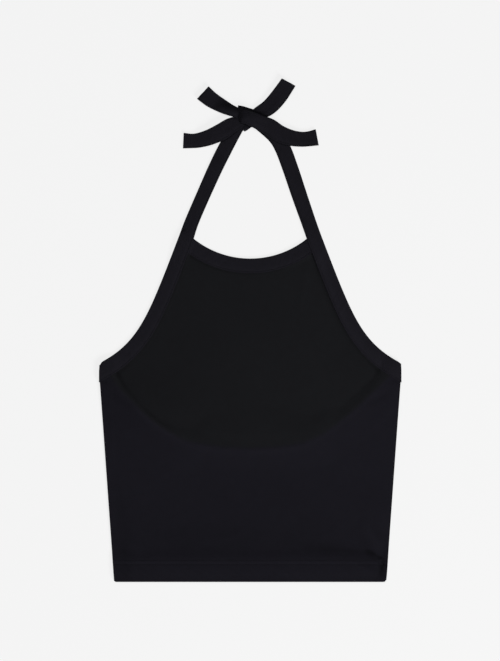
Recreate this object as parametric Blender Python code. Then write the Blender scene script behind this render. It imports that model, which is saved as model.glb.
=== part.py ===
"""A halter neck top laid flat: the front panel on the back panel, its ties knotted in a bow.

Sizes are in millimetres. "Across" is measured out from the centre line, "up" from the hem
towards the bow, and "above" from the surface that the top lies on. Meshes are made in metres,
with X across, +Y up the garment and +Z above the surface.
"""

import math

import bmesh
import bpy
from mathutils import Vector

MM = 0.001
UPRIGHT = Vector((0, 0, 1))

# Outline of the body
LENGTH = 603.0  # hem to the highest corner of the bow
HEM_HALF = 163.2
SIDE_SLANT = 0.0716  # growth of the half width for each millimetre up the side seam
SIDE_HALF = 180.9  # most that the panels reach to each side
UNDERARM_HALF = 181.2  # ends of the bindings at the side seam
UNDERARM_UP = 261.6

# Armhole edge: a straight slant to the shoulder, with a flare that fades above the underarm
SHOULDER_HALF = 86.1
SHOULDER_UP = 411.6
ARMHOLE_SLANT = 0.378
ARMHOLE_FLARE = 38.4
ARMHOLE_FADE = 24.0

# Neck edge: one arc, its centre above the neck
NECK_RADIUS = 109.0
NECK_CENTRE_UP = 496.2

# Top edge of the back: nearly level at the centre, then rising straight to the underarms
BACK_LOW_UP = 160.0
BACK_SLANT = 1.05
BACK_BEND_ACROSS = 84.9
BACK_BEND_SOFTNESS = 22.0

# Cloth
WALL = 1.0  # one layer of jersey
GAP = 0.3  # between pieces
BAND = 2 * WALL + GAP  # a binding lapped over a panel, or a folded tie
LAYER = WALL + GAP
BINDING = 17.0  # width of the bindings
BINDING_SPREAD = 3.0  # how much wider the armhole bindings are at the side seam
SPREAD_FADE = 15.0
LIP = 1.5  # solid edge of a binding, outside the panel that it binds
PANEL_INSET = LIP + GAP  # from a bound edge to the panel inside it
HEM_DEPTH = 26.0
HEM_STEP = 4.0  # over which the hem's second layer ends

# Rows below the back's top edge, as insets from that edge: where the panels start to rise over
# the back edge binding, halfway, where they are fully up, and the middle of the binding
RISE_INSETS = (30.0, 24.0, 18.0, 10.0)

# How far the front's underside is above the surface at a distance past the back's top edge
FRONT_HEIGHTS = (
    # distance, above
    (-30.0, LAYER),
    (-18.0, BAND + GAP),
    (2.0, BAND + GAP),
    (44.0, 0.0),
)

COLUMNS = 15  # columns of each half panel
STRAP_COLUMNS = 3  # of them, those that end under the strap at the top of the front
PLAIN_ROWS = 4  # rows between the hem and the back edge binding
CHEST_ROWS = (  # shares of the way up the armhole
    0.02, 0.045, 0.07, 0.095, 0.125, 0.16, 0.2, 0.25, 0.31, 0.38, 0.47, 0.58, 0.7, 0.82, 0.92, 1.0
)
SQUARE_UP = 300.0  # from here up, an armhole binding's sections are square to its edge
STEPS_PER_ROW = 3  # sections of a strap, loop or tie end for each row of its table
FOLD_STEPS = 4  # facets round the fold at the end of a loop
FILL_CORNER = 0.3  # where, from the lip to the leg, a strap's section has the corner under a lip
HALVINGS = 50  # of a range in which a value is sought

# Straps, as centre points from past the shoulder to the knot
STRAPS = {
    "left": (
        # across, up, width
        (-69.7, 432.0, 16.4),
        (-55.9, 464.0, 16.4),
        (-41.5, 496.0, 17.0),
        (-29.6, 520.0, 17.2),
        (-21.5, 534.0, 15.5),
        (-12.6, 545.8, 11.0),
    ),
    "right": (
        (69.7, 432.0, 17.3),
        (58.6, 464.0, 18.2),
        (47.9, 496.0, 18.6),
        (38.7, 520.0, 18.6),
        (29.0, 534.0, 16.5),
        (10.6, 547.0, 10.0),
    ),
}

# Free ends of the ties, from the knot outwards
TIE_ENDS = {
    "left": (
        # across, up, width
        (-14.0, 550.5, 11.0),
        (-24.0, 546.2, 17.5),
        (-35.0, 539.0, 19.2),
        (-48.5, 532.8, 18.1),
        (-61.0, 529.4, 16.8),
        (-70.5, 528.5, 16.3),
        (-79.6, 528.9, 17.4),
    ),
    "right": (
        (11.0, 552.0, 10.0),
        (23.0, 545.4, 18.0),
        (35.0, 537.0, 18.6),
        (48.5, 532.0, 17.8),
        (61.0, 530.3, 16.8),
        (70.5, 531.0, 16.8),
        (79.6, 532.6, 17.7),
    ),
}

# The free ends lie over the straps and come down to the surface beyond them
TIE_HEIGHTS = (
    # distance out, above
    (50.0, BAND + GAP),
    (68.0, 0.0),
)

# Bow loops, from the knot to the fold at the end
LOOPS = {
    "left": (
        # across, up, width
        (-14.1, 562.0, 9.0),
        (-24.0, 565.8, 13.5),
        (-33.5, 570.4, 15.4),
        (-46.2, 577.6, 17.2),
        (-54.1, 584.4, 18.4),
    ),
    "right": (
        (10.3, 562.6, 9.0),
        (22.6, 569.6, 17.5),
        (33.9, 581.3, 18.6),
        (44.3, 596.1, 17.1),
    ),
}

# Knot: its middle, its reach and its sections
KNOT_ACROSS = -2.0
KNOT_UP = 556.0
KNOT_HALF_WIDTH = 11.4
KNOT_HALF_HEIGHT = 14.4
KNOT_SQUARENESS = 2.6
KNOT_SIDES = 20
KNOT_SECTIONS = (
    # above, share of the outline
    (0.0, 0.80),
    (1.2, 0.95),
    (4.0, 1.0),
    (6.6, 0.92),
    (8.4, 0.72),
    (9.4, 0.42),
)

# Jersey colours: the panels, and the bindings and ties, whose folded cloth is a little lighter
PANEL_COLOUR = (0.0085, 0.0080, 0.0105)
BAND_COLOUR = (0.0100, 0.0093, 0.0125)
ROUGHNESS = 0.9
SHARP_ANGLE = math.radians(40)


def clear_scene():
    for existing in list(bpy.data.objects):
        bpy.data.objects.remove(existing)


def solve(function, low, high):
    """The value between low and high where the function passes zero."""
    starts_positive = function(low) > 0
    for _ in range(HALVINGS):
        middle = (low + high) / 2
        if (function(middle) > 0) == starts_positive:
            low = middle
        else:
            high = middle
    return (low + high) / 2


def between(a, b, share):
    return a + (b - a) * share


def eased(value, table):
    """Reads a table of (place, amount) rows, with an eased change from each row to the next."""
    if value <= table[0][0]:
        return table[0][1]
    for (place, amount), (next_place, next_amount) in zip(table, table[1:]):
        if value <= next_place:
            share = (value - place) / (next_place - place)
            return between(amount, next_amount, share * share * (3 - 2 * share))
    return table[-1][1]


def smooth_rows(rows, steps):
    """Rows on a smooth curve through the given rows, with this many steps from each to the next."""
    ends = (
        [2 * a - b for a, b in zip(rows[0], rows[1])],
        [2 * a - b for a, b in zip(rows[-1], rows[-2])],
    )
    padded = [ends[0], *rows, ends[1]]
    curve = []
    for before, start, end, after in zip(padded, padded[1:], padded[2:], padded[3:]):
        for step in range(steps):
            t = step / steps
            curve.append([
                0.5 * (2 * b + (c - a) * t + (2 * a - 5 * b + 4 * c - d) * t * t
                       + (3 * b - a - 3 * c + d) * t ** 3)
                for a, b, c, d in zip(before, start, end, after)
            ])
    curve.append(list(rows[-1]))
    return curve


# Lines of the pattern, for the right half of the body


def side_half(up):
    return min(HEM_HALF + SIDE_SLANT * up, SIDE_HALF)


def back_edge(across):
    bend = (abs(across) - BACK_BEND_ACROSS) / BACK_BEND_SOFTNESS
    return BACK_LOW_UP + BACK_SLANT * BACK_BEND_SOFTNESS * math.log1p(math.exp(bend))


def back_stretch(across):
    """Length along the back's top edge for each millimetre across."""
    bend = (abs(across) - BACK_BEND_ACROSS) / BACK_BEND_SOFTNESS
    return math.hypot(1, BACK_SLANT / (1 + math.exp(-bend)))


def back_line(across, inset):
    return back_edge(across) - inset * back_stretch(across)


def armhole_point(place, inset):
    """The point that lies inset from the armhole's edge, square to the edge at this place up it."""
    flare = ARMHOLE_FLARE * math.exp((UNDERARM_UP - place) / ARMHOLE_FADE)
    across = SHOULDER_HALF + ARMHOLE_SLANT * (SHOULDER_UP - place) + flare
    slope = ARMHOLE_SLANT + flare / ARMHOLE_FADE
    length = math.hypot(1, slope)
    return across - inset / length, place - inset * slope / length


def armhole_across(up, inset):
    """How far out the line at this inset from the armhole's edge is, at this height up the body."""
    place = solve(lambda place: armhole_point(place, inset)[1] - up, UNDERARM_UP, LENGTH)
    return armhole_point(place, inset)[0]


def neck_point(angle, inset):
    radius = NECK_RADIUS + inset
    return radius * math.sin(angle), NECK_CENTRE_UP - radius * math.cos(angle)


def binding_width(place):
    return BINDING + BINDING_SPREAD * math.exp(min(0, UNDERARM_UP - place) / SPREAD_FADE)


def side_place(inset, half):
    """The place up the armhole's edge where the line at this inset is half this wide."""
    return solve(lambda place: armhole_point(place, inset)[0] - half, UNDERARM_UP - BINDING, SQUARE_UP)


def shoulder_place():
    """The place up the armhole's edge where the strap's inner edge meets the front's neck edge."""
    def outside(place):
        across, up = armhole_point(place, BINDING)
        return math.hypot(across, NECK_CENTRE_UP - up) - NECK_RADIUS - PANEL_INSET

    return solve(outside, SHOULDER_UP - BINDING, SHOULDER_UP + BINDING)


def armhole_places():
    """Places up the armhole's edge of the front's corner and of the ends of its chest rows."""
    corner = side_place(PANEL_INSET, SIDE_HALF)
    shoulder = shoulder_place()
    return [between(corner, shoulder, share) for share in (0.0, *CHEST_ROWS)]


def front_above(across, up):
    """Height of the front's underside, which lies on the hem, the back and its binding."""
    past_edge = (up - back_edge(across)) / back_stretch(across)
    hem_table = ((HEM_DEPTH, WALL), (HEM_DEPTH + HEM_STEP, 0.0))
    return eased(past_edge, FRONT_HEIGHTS) + eased(up, hem_table)


def back_above(across, up):
    """Height of the back's underside, which rises onto the inner leg of its own binding."""
    past_edge = (up - back_edge(across)) / back_stretch(across)
    return eased(past_edge, ((-RISE_INSETS[0], 0.0), (-RISE_INSETS[2], LAYER)))


def panel_thickness(up):
    return WALL + eased(up, ((HEM_DEPTH, WALL), (HEM_DEPTH + HEM_STEP, 0.0)))


# Rows of points of the panels, from the left side to the right


def full_row(line):
    """Evenly spaced points along a line of the body, from side seam to side seam."""
    end = SIDE_HALF
    for _ in range(HALVINGS):
        end = side_half(line(end))
    shares = [column / COLUMNS for column in range(-COLUMNS, COLUMNS + 1)]
    return [(share * end, line(share * end)) for share in shares]


def body_rows(last_inset):
    """Rows from the hem to the line at this inset from the back's top edge."""
    lines = [lambda across, up=up: up for up in (0.0, HEM_DEPTH, HEM_DEPTH + HEM_STEP)]
    plain = HEM_DEPTH + HEM_STEP
    for row in range(1, PLAIN_ROWS + 1):
        share = row / (PLAIN_ROWS + 1)
        lines.append(
            lambda across, share=share: between(plain, back_line(across, RISE_INSETS[0]), share)
        )
    for inset in (*RISE_INSETS, last_inset):
        lines.append(lambda across, inset=inset: back_line(across, inset))
    return [full_row(line) for line in lines]


def neck_row():
    """The front's top row: its neck edge, with a short straight end under each strap."""
    place = shoulder_place()
    inner = armhole_point(place, BINDING)
    outer = armhole_point(place, PANEL_INSET)
    neck_columns = COLUMNS - STRAP_COLUMNS
    widest = math.asin(inner[0] / (NECK_RADIUS + PANEL_INSET))
    right = [neck_point(widest * column / neck_columns, PANEL_INSET) for column in range(neck_columns)]
    for column in range(STRAP_COLUMNS + 1):
        share = column / STRAP_COLUMNS
        right.append((between(inner[0], outer[0], share), between(inner[1], outer[1], share)))
    return [(-across, up) for across, up in reversed(right[1:])] + right


def chest_rows(first, last):
    """Rows from the back's top edge to the neck, whose ends lie on the armholes."""
    rows = []
    for share, place in zip(CHEST_ROWS, armhole_places()[1:]):
        end, end_up = armhole_point(place, PANEL_INSET)
        lift = end_up - between(first[-1][1], last[-1][1], share)
        row = []
        for low, high in zip(first, last):
            out = between(low[0] / first[-1][0], high[0] / last[-1][0], share)
            row.append((end * out, between(low[1], high[1], share) + lift * out * out))
        rows.append(row)
    return rows


def front_rows():
    corner_up = armhole_point(side_place(PANEL_INSET, SIDE_HALF), PANEL_INSET)[1]
    corner_inset = (back_edge(SIDE_HALF) - corner_up) / back_stretch(SIDE_HALF)
    lower = body_rows(corner_inset)
    return lower + chest_rows(lower[-1], neck_row())


# Meshes


def material(name, colour):
    made = bpy.data.materials.new(name)
    made.use_nodes = True
    shader = made.node_tree.nodes["Principled BSDF"]
    shader.inputs["Base Color"].default_value = (*colour, 1)
    shader.inputs["Roughness"].default_value = ROUGHNESS
    shader.inputs["Metallic"].default_value = 0.0
    return made


def piece(name, points, faces, colour, parent):
    """One closed piece, from points in millimetres."""
    mesh = bpy.data.meshes.new(name)
    mesh.from_pydata([Vector(point) * MM for point in points], [], faces)
    shape = bmesh.new()
    shape.from_mesh(mesh)
    bmesh.ops.recalc_face_normals(shape, faces=shape.faces)
    shape.to_mesh(mesh)
    shape.free()
    mesh.shade_smooth()
    mesh.set_sharp_from_angle(angle=SHARP_ANGLE)
    mesh.materials.append(material(name, colour))
    made = bpy.data.objects.new(name, mesh)
    bpy.context.collection.objects.link(made)
    made.parent = parent


def panel(name, rows, above, parent):
    """A cloth panel from rows of points: a lower and an upper face joined round the edge."""
    width = len(rows[0])
    lower = [(across, up, above(across, up)) for row in rows for across, up in row]
    upper = [(across, up, height + panel_thickness(up)) for across, up, height in lower]
    top = len(lower)
    faces = []
    for row in range(len(rows) - 1):
        for column in range(width - 1):
            first = row * width + column
            corners = (first, first + 1, first + width + 1, first + width)
            faces.append([top + corner for corner in corners])
            faces.append(list(reversed(corners)))
    rim = list(range(width))
    rim += [row * width + width - 1 for row in range(1, len(rows))]
    rim += [len(lower) - 2 - column for column in range(width - 1)]
    rim += [row * width for row in range(len(rows) - 2, 0, -1)]
    for first, second in zip(rim, rim[1:] + rim[:1]):
        faces.append((first, second, top + second, top + first))
    piece(name, lower + upper, faces, PANEL_COLOUR, parent)


def loft(name, sections, colour, parent):
    """A band through closed sections of equal length, capped at both ends."""
    count = len(sections[0])
    points = [point for section in sections for point in section]
    faces = [list(reversed(range(count)))]
    for start in range(0, len(points) - count, count):
        for corner in range(count):
            after = (corner + 1) % count
            faces.append((start + corner, start + after, start + count + after, start + count + corner))
    faces.append(list(range(len(points) - count, len(points))))
    piece(name, points, faces, colour, parent)


def lapped_section(rail, above):
    """A binding's section: a leg lapped over the panel, and a lip down past the panel's edge.

    The rail gives the point at each inset, and above gives the panel's underside there.
    """
    edge, lip, *leg = rail
    section = [(*edge, above(*edge)), (*edge, above(*edge) + BAND)]
    section += [(*point, above(*point) + BAND) for point in leg]
    section += [(*point, above(*point) + LAYER) for point in reversed(leg)]
    section += [(*lip, above(*lip) + LAYER), (*lip, above(*lip))]
    return section


def leg_insets(width):
    return (0.0, LIP, width / 3, 2 * width / 3, width)


def armhole_rail(place, seam_share):
    """Points of an armhole binding at each inset.

    At a seam share of 0 they lie on the side seam, and at 1 they are square to the edge.
    """
    rail = []
    for inset in leg_insets(binding_width(place)):
        start = side_place(inset, UNDERARM_HALF)
        rail.append(armhole_point(between(start, place, seam_share), inset))
    return rail


def armhole_rails():
    places = armhole_places()
    reach = SQUARE_UP - places[0]
    rails = []
    for place in places:
        seam_share = eased(place - places[0], ((0.0, 0.0), (reach, 1.0)))
        rails.append(armhole_rail(place, seam_share))
    return rails


def to_the_right(ahead, behind):
    """Unit vector to the right of a band's run, seen from above."""
    run = Vector((ahead[0] - behind[0], ahead[1] - behind[1], 0))
    run.normalize()
    return Vector((run.y, -run.x, 0))


def armhole_tie(name, side, strap, parent):
    """An armhole binding that runs on past the shoulder as a strap."""
    rails = [[(side * across, up) for across, up in rail] for rail in armhole_rails()]
    sections = [lapped_section(rail, front_above) for rail in rails]
    edge, inner = rails[-1][0], rails[-1][-1]
    shoulder = ((edge[0] + inner[0]) / 2, (edge[1] + inner[1]) / 2, BINDING)
    rows = smooth_rows([shoulder, *strap], STEPS_PER_ROW)
    for index in range(1, len(rows)):
        across, up, width = rows[index]
        ahead = rows[min(index + 1, len(rows) - 1)]
        outward = side * to_the_right(ahead, rows[index - 1])
        rail = [Vector((across, up, 0)) + outward * (width / 2 - inset) for inset in leg_insets(width)]
        edge, lip, *leg = rail
        top = UPRIGHT * BAND
        section = [edge, edge + top, *(point + top for point in leg), *reversed(leg)]
        sections.append(section + [between(lip, leg[0], FILL_CORNER), lip])
    loft(name, sections, BAND_COLOUR, parent)


def neck_end(inset):
    """Angle at which the neck binding's line at this inset comes up to an armhole binding."""
    def clearance(angle):
        across, up = neck_point(angle, inset)
        return armhole_across(up, BINDING + GAP) - across

    return solve(clearance, 0.0, math.pi / 3)


def neck_binding(parent):
    """The binding of the neck edge, its ends just short of the armhole bindings."""
    columns = COLUMNS - STRAP_COLUMNS
    insets = leg_insets(BINDING)
    ends = [neck_end(inset) for inset in insets]
    sections = []
    for column in range(-columns, columns + 1):
        rail = [neck_point(end * column / columns, inset) for inset, end in zip(insets, ends)]
        sections.append(lapped_section(rail, front_above))
    loft("neck_binding", sections, BAND_COLOUR, parent)


def back_edge_binding(parent):
    """The binding of the back's top edge, whose leg lies under the back panel."""
    sections = []
    for column in range(-COLUMNS, COLUMNS + 1):
        across = UNDERARM_HALF * column / COLUMNS
        edge, lip, inner = (back_line(across, inset) for inset in (0.0, LIP, BINDING))
        sections.append([
            (across, edge, BAND),
            (across, edge, 0.0),
            (across, inner, 0.0),
            (across, inner, WALL),
            (across, lip, WALL),
            (across, lip, BAND),
        ])
    loft("back_edge_binding", sections, BAND_COLOUR, parent)


def band_section(middle, right, upward, width):
    """Four corners of a folded tie about its middle."""
    half = right * width / 2
    thick = upward * BAND / 2
    return [middle - half - thick, middle + half - thick, middle + half + thick, middle - half + thick]


def run_of(rows):
    """For each row of a band, its place, the way to its right, and its width."""
    run = []
    for index, (across, up, width) in enumerate(rows):
        right = to_the_right(rows[min(index + 1, len(rows) - 1)], rows[max(index - 1, 0)])
        run.append((Vector((across, up, 0)), right, width))
    return run


def tie_end(name, table, parent):
    """A free end of a tie: it lies over its strap, then on the surface."""
    sections = []
    for place, right, width in run_of(smooth_rows(table, STEPS_PER_ROW)):
        middle = place + UPRIGHT * (eased(abs(place.x), TIE_HEIGHTS) + BAND / 2)
        sections.append(band_section(middle, right, UPRIGHT, width))
    loft(name, sections, BAND_COLOUR, parent)


def bow_loop(name, table, parent):
    """A flattened loop: the tie runs out, folds over at the end and comes back on itself."""
    run = run_of(smooth_rows(table, STEPS_PER_ROW))
    low = UPRIGHT * BAND / 2
    high = UPRIGHT * (BAND + GAP + BAND / 2)
    sections = [band_section(place + low, right, UPRIGHT, width) for place, right, width in run]
    end, right, width = run[-1]
    fold = (high - low) / 2
    for step in range(1, FOLD_STEPS):
        angle = math.pi * step / FOLD_STEPS
        inward = UPRIGHT * math.cos(angle) - UPRIGHT.cross(right) * math.sin(angle)
        middle = end + low + fold - inward * fold.length
        sections.append(band_section(middle, right, inward, width))
    for place, right, width in reversed(run):
        sections.append(band_section(place + high, right, -UPRIGHT, width))
    loft(name, sections, BAND_COLOUR, parent)


def bow_knot(parent):
    """The knot: a squarish boss, rounded over the top."""
    sections = []
    for above, share in KNOT_SECTIONS:
        section = []
        for corner in range(KNOT_SIDES):
            angle = 2 * math.pi * corner / KNOT_SIDES
            squared = [
                math.copysign(abs(part) ** (2 / KNOT_SQUARENESS), part)
                for part in (math.cos(angle), math.sin(angle))
            ]
            across = KNOT_ACROSS + KNOT_HALF_WIDTH * share * squared[0]
            up = KNOT_UP + KNOT_HALF_HEIGHT * share * squared[1]
            section.append((across, up, above))
        sections.append(section)
    loft("bow_knot", sections, BAND_COLOUR, parent)


def main():
    clear_scene()
    top = bpy.data.objects.new("halter_top", None)
    top.location = (0, -LENGTH / 2 * MM, 0)
    bpy.context.collection.objects.link(top)
    panel("back_panel", body_rows(PANEL_INSET), back_above, top)
    back_edge_binding(top)
    panel("front_panel", front_rows(), front_above, top)
    neck_binding(top)
    for name, side in (("left", -1), ("right", 1)):
        armhole_tie(f"{name}_armhole_tie", side, STRAPS[name], top)
        tie_end(f"{name}_tie_end", TIE_ENDS[name], top)
        bow_loop(f"{name}_bow_loop", LOOPS[name], top)
    bow_knot(top)


main()
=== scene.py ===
"""Looks of a black halter neck top laid flat: knitted panels, folded bindings and ties, a bow.

Sizes are in millimetres. "Across" is measured out from the centre line, "up" from the hem
towards the bow, and heights are above the surface that the top lies on. Every cloth piece is a
grid of points through the middle of the cloth, which is then given its two faces.
"""

import math

import bpy
import numpy as np
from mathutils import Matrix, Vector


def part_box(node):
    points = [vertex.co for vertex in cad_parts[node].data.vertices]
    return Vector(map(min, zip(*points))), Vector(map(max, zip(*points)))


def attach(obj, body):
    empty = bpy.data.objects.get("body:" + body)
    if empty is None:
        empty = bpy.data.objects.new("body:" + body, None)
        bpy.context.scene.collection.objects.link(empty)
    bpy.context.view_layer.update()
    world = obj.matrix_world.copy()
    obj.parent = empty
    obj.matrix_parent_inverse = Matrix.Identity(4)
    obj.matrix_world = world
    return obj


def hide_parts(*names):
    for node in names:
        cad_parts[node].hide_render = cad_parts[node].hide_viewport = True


MM = 0.001
BODY = "root"

# Outline of the body, as in the frame
HEM_HALF = 163.2
SIDE_SLANT = 0.0716
SIDE_HALF = 180.9
UNDERARM_HALF = 181.2
UNDERARM_UP = 261.6
SHOULDER_HALF = 86.1
SHOULDER_UP = 411.6
ARMHOLE_SLANT = 0.378
ARMHOLE_FLARE = 38.4
ARMHOLE_FADE = 24.0
SQUARE_UP = 300.0  # from here up, an armhole binding's sections are square to its edge
NECK_RADIUS = 109.0
NECK_CENTRE_UP = 496.2
BACK_LOW_UP = 160.0
BACK_SLANT = 1.05
BACK_BEND_ACROSS = 84.9
BACK_BEND_SOFTNESS = 22.0
BACK_SHIFTS = (
    # across, how much higher the back's top edge lies there than on an even top
    (-178, 0), (-150, -4.6), (-124, -6.2), (-88, -3.4), (-50, 0), (80, 0), (112, 1.4), (140, 1),
    (160, 0),
)
BINDING = 17.4
BINDING_SPREAD = 3.0
SPREAD_FADE = 15.0
PANEL_INSET = 1.9  # from a bound edge to the cut edge of the panel inside the fold

# Cloth
CLOTH = 0.62  # one layer of jersey
SLACK = 0.1  # air between layers that lie on each other
TURNED = 0.34  # how much a turned-in allowance thickens a binding's outer layer
TURNED_WIDTH = 6.8
LAYER = CLOTH + SLACK
LIP = 1.3  # reach of the fold at a strip's folded edge

# Hem: twin rows of stitches catch the cut edge of the allowance
HEM_ALLOWANCE = 27.0
HEM_STITCHES = (20.8, 25.8)
HEM_DRAWS = (0.42, 0.2)  # how far each row draws the cloth in
HEM_FADE = 12.0
HEM_PUFF = 0.42
HEM_FOLD = 1.1  # reach of the fold at the hem's edge
HEM_CORNERS = ((-1, 1.6), (1, 3.2))  # side, radius of the corner there
UNDERARM_CORNERS = {"left": 2.6, "right": 0.9}  # how far a binding's corner is worn round
CORNER_SHIFT = (0.4, 0.8)  # share of that across and up
CORNER_REACH = (2.6, 4.0)
BACK_EDGE_SHORT = 1.2  # the back edge's binding stops this far short of the side seams
NECK_END = 0.675  # sine of the angle at which the neck binding ends, under the armhole bindings

# Stitches
STITCH_PITCH = 2.8
STITCH_LENGTH = 2.25
THREAD = 0.34
TOPSTITCH = 2.0  # from a strip's inner edge
STEPS_PER_STITCH = 3

# Grids
PANEL_STEP = 2.2
FINE_STEP = 1.3
HEM_ROW_STEP = 0.45
HEM_ROW_REACH = 1.1  # this near a row of stitches, the hem has that finer step
ARMHOLE_TRIALS = 800  # points of an edge before it is cut in even steps
BACK_TRIALS = 1200
STRIP_STEP = STITCH_PITCH / STEPS_PER_STITCH
TIE_END_STEP = STRIP_STEP * 0.8
LOOP_STEP = 0.62
BLUR_STEPS = 4  # neighbours over which a fold's bulge is judged
SHARP = 62.0  # a sharper turn between faces than this many degrees is an edge
LEVEL_UP = 40.0  # up to here, a panel's rows are level
UNDER_STRAP = 0.16  # share of the front's top row that lies under the straps
HALVINGS = 50  # of a range in which a value is sought
CURVE_STEPS = 30  # between two rows of a path
POINTS_AT_ONCE = 4000
EDGE_SHADE = 0.36  # of the painted shade line beside a binding

# Straps past the shoulder, as centre points, with how far they are lifted off the surface
STRAPS = {
    "left": (
        # across, up, lift, width
        (-69.7, 432, 0.15, 16.4),
        (-55.9, 464, 0, 16.4),
        (-41.5, 496, 0.35, 17),
        (-29.6, 520, 0.1, 17.2),
        (-21.5, 534, 0.2, 15.8),
        (-12.6, 545.8, 0.4, 12),
        (-4.5, 553, 1, 9.5),
    ),
    "right": (
        (69.7, 432, 0, 17.3),
        (58.6, 464, 0.3, 18.2),
        (47.9, 496, 0, 18.6),
        (38.7, 520, 0.1, 18.6),
        (29, 534, 0.2, 16.9),
        (10.6, 547, 0.4, 11.5),
        (2.5, 553, 1, 9.5),
    ),
}

# Strips of the bow, each from one end to the other through the middle of its thickness. Roll
# turns the strip about its run, furrow sinks its middle, and arch lowers its edges.
BOW_STRIPS = {
    "left_tie_end": (
        # across, up, above, width, roll, furrow, arch
        (-80.2, 528.8, 1.2, 18.4, 0, 0, 0),
        (-70.5, 528.4, 1.2, 17, 0, 0.1, 0),
        (-61, 529.3, 2, 17.5, -2, 0.1, 0.2),
        (-48.5, 532.7, 4.2, 18.8, -3, 0.1, 0.6),
        (-35, 538.9, 5.3, 20, -2, 0.1, 1),
        (-24, 546, 5.4, 18.8, 0, 0.3, 1.1),
        (-14, 551, 3.8, 15.5, 2, 0.3, 1),
        (-7, 554.5, 2.4, 12.5, 2, 0.2, 0.4),
    ),
    "right_tie_end": (
        (80.4, 532.8, 1.25, 19.4, 0, 0, 0),
        (70.5, 531, 1.2, 17.7, 0, 0.1, 0),
        (61, 530.4, 2.1, 17.6, 2, 0.1, 0.2),
        (48.5, 532, 4.4, 18.8, 3, 0.2, 0.6),
        (35, 537, 5.5, 20, 2, 0.2, 1.1),
        (23, 545, 6.3, 20.2, 0, 0.5, 1.8),
        (12.8, 549.4, 7.7, 18, 0, 0.7, 2.4),
        (4, 553.4, 9.1, 17, 0, 0.4, 2.8),
        (-3.5, 556.1, 9.4, 15.8, 0, -0.3, 2.8),
        (-8.8, 557.2, 8.4, 15.2, 0, 0, 2.4),
        (-11.6, 557.6, 5.8, 15, 0, 0, 1.6),
        (-10.6, 557.7, 3.2, 14, 0, 0, 0.8),
        (-2, 557, 2.1, 13, 0, 0, 0.2),
        (5, 555.8, 1.8, 12.4, 0, 0, 0),
    ),
    "left_bow_loop": (
        (-7.5, 559.8, 2.2, 9.5, 0, 0, 0),
        (-14.1, 562, 1.4, 11, 0, 0.2, 0),
        (-24, 565.6, 1.15, 13.6, 0, 0.2, 0),
        (-33.5, 570.2, 1.1, 16.2, 0, 0.1, 0),
        (-46.2, 577.5, 1.15, 18.4, 0, 0, 0),
        (-55, 584.7, 1.25, 19.8, 0, 0, 0),
        (-56.4, 586, 2.55, 19.9, 0, 0, 0),
        (-55.2, 584.9, 4, 19.8, 0, 0, 0),
        (-48.5, 579.4, 3.7, 18.6, 0, 0, 0.2),
        (-41.5, 574.8, 3.4, 17.4, 0, 0, 0.5),
        (-34.5, 570.7, 4.4, 16.2, 0, 0.2, 1.4),
        (-25, 565.8, 5.6, 13.8, 0, 0.4, 2.2),
        (-17, 562.6, 5, 12, 0, 0.3, 2),
        (-8.5, 560, 2.8, 10, 0, 0, 0.6),
    ),
    "right_bow_loop": (
        (4, 558.6, 2.2, 12, 0, 0, 0),
        (10.3, 561.8, 1.6, 15.6, 0, 0.2, 0),
        (22.8, 569.2, 1.2, 18.9, 0, 0.1, 0),
        (34, 581.2, 1.15, 19.6, 0, 0, 0),
        (44.6, 596.4, 1.2, 18.5, 0, 0, 0),
        (45.6, 598.2, 2.5, 18.5, 0, 0, 0),
        (44.6, 596.4, 3.8, 18.5, 0, 0, 0),
        (33.8, 581.2, 3.6, 19.4, -2, 0.1, 0.3),
        (23.2, 569.3, 3, 18.8, -2, 0.3, 0.4),
        (12, 562.2, 2.6, 16.2, 0, 0.4, 0.4),
        (4.5, 558.4, 2.6, 13, 0, 0.2, 0.3),
    ),
    "bow_knot": (
        (1.5, 551, 0.9, 12.6, 0, 0, 0),
        (-0.3, 546.4, 0.9, 13.6, 0, 0, 0.2),
        (-1.3, 543.9, 1.6, 14.4, 0, 0, 0.3),
        (-2.1, 544.9, 2.7, 14.6, 0, 0.2, 0.6),
        (-4, 548.4, 3.3, 14.6, 0, 0.3, 1),
        (-5.8, 552.4, 4, 14, 0, 0.2, 1.3),
        (-6.6, 556.5, 4.8, 14, 0, 0, 1.4),
        (-6.6, 560.8, 5.4, 15.6, 0, 0.2, 1.6),
        (-5.8, 565, 5.2, 18.6, 0, 0.4, 1.9),
        (-4.9, 568, 3.4, 20, 0, 0.3, 1.2),
        (-4.8, 568.3, 1.9, 19, 0, 0.1, 0.4),
        (-5.6, 564.5, 1.1, 16, 0, 0, 0),
        (-6.4, 559, 1, 14, 0, 0, 0),
    ),
}
BOW_PAINTED_SHADING = {
    # painted shadows where the strips run under the knot and each other, and a little painted light, as for
    # the front: across, up, reach across, reach up, change
    "left_bow_loop": (
        (-39.5, 569.5, 5, 5, -0.25),
        (-31, 573, 7, 5, -0.48),
        (-22, 569.5, 7, 5, -0.55),
        (-14, 566, 6, 4.5, -0.5),
    ),
    "right_bow_loop": (
        (6, 563.5, 5, 4, -0.45),
        (13, 561, 5, 3.5, -0.45),
        (20, 557, 5, 3, -0.45),
        (38, 585, 16, 22, 0.06),
    ),
    "bow_knot": (
        (-13, 568.5, 5, 4, -0.42),
        (-5, 567.5, 5, 4, -0.5),
        (2.5, 565.5, 5, 4, -0.5),
        (-6, 547.5, 4.5, 4, -0.45),
        (1, 545, 4.5, 4, -0.45),
    ),
    "right_tie_end": (
        (-11.5, 557, 2.2, 8, -0.35),
        (0, 556, 10, 7, -0.13),
        (60, 531, 26, 14, -0.14),
        (24, 550, 12, 3.5, -0.08),
    ),
    "left_tie_end": ((-14, 557, 6, 4, -0.2), (-26, 540, 8, 4, -0.1)),
}
TIE_HEM = 10.0  # depth of the turned hem at a tie's free end
TIE_HEM_SWELL = 0.3
TIE_AIR = 0.05  # between the two layers of a folded tie
TIE_PUFF = 0.22
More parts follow.
